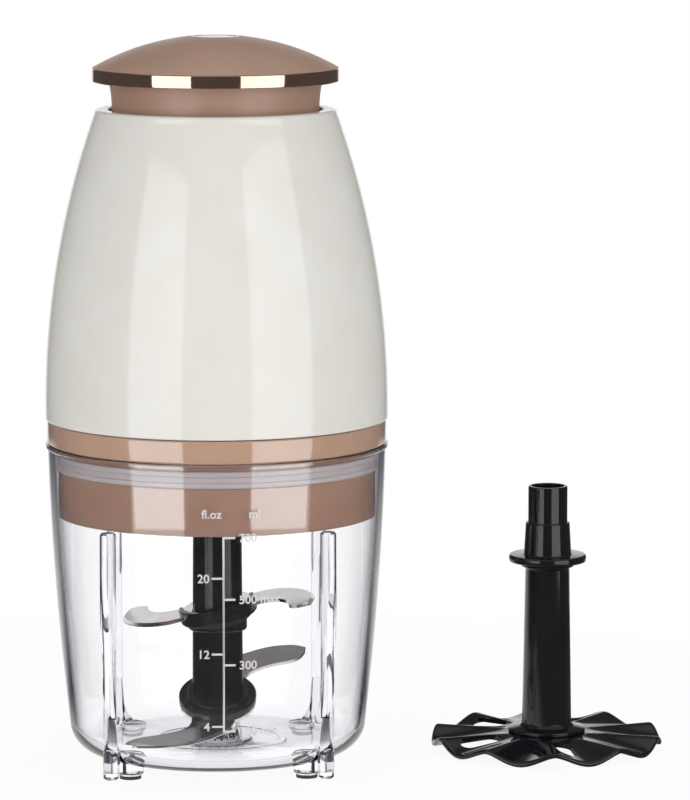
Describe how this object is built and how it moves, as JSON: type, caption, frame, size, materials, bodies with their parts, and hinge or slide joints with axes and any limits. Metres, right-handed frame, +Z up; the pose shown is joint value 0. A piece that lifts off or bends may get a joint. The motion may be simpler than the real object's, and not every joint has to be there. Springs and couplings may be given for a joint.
{
  "type": "electric food chopper",
  "caption": "Press-top electric food chopper: white barrel motor unit on a lidded clear bowl with tiered blades, and a loose wavy whisk disc on a stem.",
  "frame": {"origin": "on the bowl's axis at the table, in the plane of the foot pads", "axes": "+Z up the chopper's axis, -Y to the front with the measuring scale, +X towards the loose whisk"},
  "size_m": [0.2163, 0.1206, 0.2523],
  "materials": {
    "clear_plastic": "clear injection moulded",
    "tan_plastic": "satin moulded",
    "white_plastic": "high gloss moulded",
    "black_plastic": "gloss moulded",
    "copper_plate": "mirror plated",
    "silver_foil": "bright plated",
    "blade_steel": "polished",
    "silicone": "translucent moulded",
    "pad_rubber": "matt moulded",
    "chassis_plastic": "moulded",
    "gear_plastic": "moulded acetal",
    "motor_steel": "zinc plated",
    "bearing_bronze": "sintered",
    "winding_copper": "enamelled wire",
    "magnet_ferrite": "sintered",
    "brush_carbon": "pressed carbon",
    "board_laminate": "lacquered",
    "switch_red": "moulded"
  },
  "bodies": {
    "bowl": {"bowl": "clear_plastic", "foot_pads": "pad_rubber", "spindle_pin": "blade_steel"},
    "lid": {"lid": "tan_plastic", "lid_seal": "silicone"},
    "motor_unit": {"shell": "white_plastic", "motor_base": "chassis_plastic", "base_screws": "motor_steel", "cord_gland": "pad_rubber", "ring_gear": "gear_plastic", "output_bush": "bearing_bronze", "gear_cover": "motor_steel", "cover_screws": "motor_steel", "motor_damper": "pad_rubber", "motor_can": "motor_steel", "magnets": "magnet_ferrite", "motor_end_cap": "chassis_plastic", "motor_screws": "motor_steel", "brushes": "brush_carbon", "lower_bearing": "motor_steel", "upper_bearing": "motor_steel", "circuit_board": "board_laminate", "capacitor": "black_plastic", "rectifier": "black_plastic", "board_screws": "motor_steel", "switch_plate": "chassis_plastic", "plate_screws": "motor_steel", "switch_body": "black_plastic", "return_springs": "motor_steel"},
    "armature": {"motor_shaft": "motor_steel", "armature_core": "motor_steel", "windings": "winding_copper", "commutator": "winding_copper", "cooling_fan": "gear_plastic", "sun_gear": "motor_steel"},
    "carrier": {"planet_carrier": "motor_steel", "planet_pins": "motor_steel", "output_shaft": "motor_steel"},
    "planet_1": {"planet_gear_1": "gear_plastic"},
    "planet_2": {"planet_gear_2": "gear_plastic"},
    "planet_3": {"planet_gear_3": "gear_plastic"},
    "push_cap": {"dome": "tan_plastic", "trim_ring": "copper_plate", "cap_skirt": "tan_plastic", "cap_disc": "silver_foil", "cap_screws": "motor_steel"},
    "button": {"switch_button": "switch_red"},
    "blade_unit": {"hub": "black_plastic", "hub_bush": "bearing_bronze", "upper_blade": "blade_steel", "lower_blade": "blade_steel"},
    "whisk": {"whisk_stem": "black_plastic", "whisk_disc": "black_plastic"}
  },
  "joints": [
    {"name": "motor_unit_lift", "type": "slide", "parent": "bowl", "child": "motor_unit", "axis": [0, 0, 1], "range_m": [0, 0.16]},
    {"name": "lid_lift", "type": "slide", "parent": "bowl", "child": "lid", "axis": [0, 0, 1], "range_m": [0, 0.08]},
    {"name": "cap_press", "type": "slide", "parent": "motor_unit", "child": "push_cap", "axis": [0, 0, -1], "range_m": [0, 0.0045], "stiffness_N_per_m": 900, "springref_m": -0.006, "deforming": ["return_springs"]},
    {"name": "button_press", "type": "slide", "parent": "motor_unit", "child": "button", "axis": [0, 0, -1], "range_m": [0, 0.0045]},
    {"name": "armature_spin", "type": "hinge", "parent": "motor_unit", "child": "armature", "pos_m": [0, 0, 0.16], "axis": [0, 0, 1], "continuous": true},
    {"name": "carrier_spin", "type": "hinge", "parent": "motor_unit", "child": "carrier", "pos_m": [0, 0, 0.108], "axis": [0, 0, 1], "continuous": true},
    {"name": "planet_1_spin", "type": "hinge", "parent": "carrier", "child": "planet_1", "pos_m": [0.0135, 0, 0.113], "axis": [0, 0, 1], "continuous": true},
    {"name": "planet_2_spin", "type": "hinge", "parent": "carrier", "child": "planet_2", "pos_m": [-0.00675, 0.01169, 0.113], "axis": [0, 0, 1], "continuous": true},
    {"name": "planet_3_spin", "type": "hinge", "parent": "carrier", "child": "planet_3", "pos_m": [-0.00675, -0.01169, 0.113], "axis": [0, 0, 1], "continuous": true},
    {"name": "blade_spin", "type": "hinge", "parent": "bowl", "child": "blade_unit", "pos_m": [0, 0, 0.04], "axis": [0, 0, 1], "continuous": true},
    {"name": "whisk_lift", "type": "slide", "parent": "bowl", "child": "whisk", "axis": [0, 0, 1], "range_m": [0, 0.1]}
  ],
  "couplings": [
    {"joint": "lid_lift", "follows": "motor_unit_lift", "ratio": 0.5},
    {"joint": "button_press", "follows": "cap_press", "ratio": 1},
    {"joint": "carrier_spin", "follows": "armature_spin", "ratio": 0.2},
    {"joint": "planet_1_spin", "follows": "armature_spin", "ratio": -0.53333},
    {"joint": "planet_2_spin", "follows": "armature_spin", "ratio": -0.53333},
    {"joint": "planet_3_spin", "follows": "armature_spin", "ratio": -0.53333},
    {"joint": "blade_spin", "follows": "armature_spin", "ratio": 0.2}
  ]
}
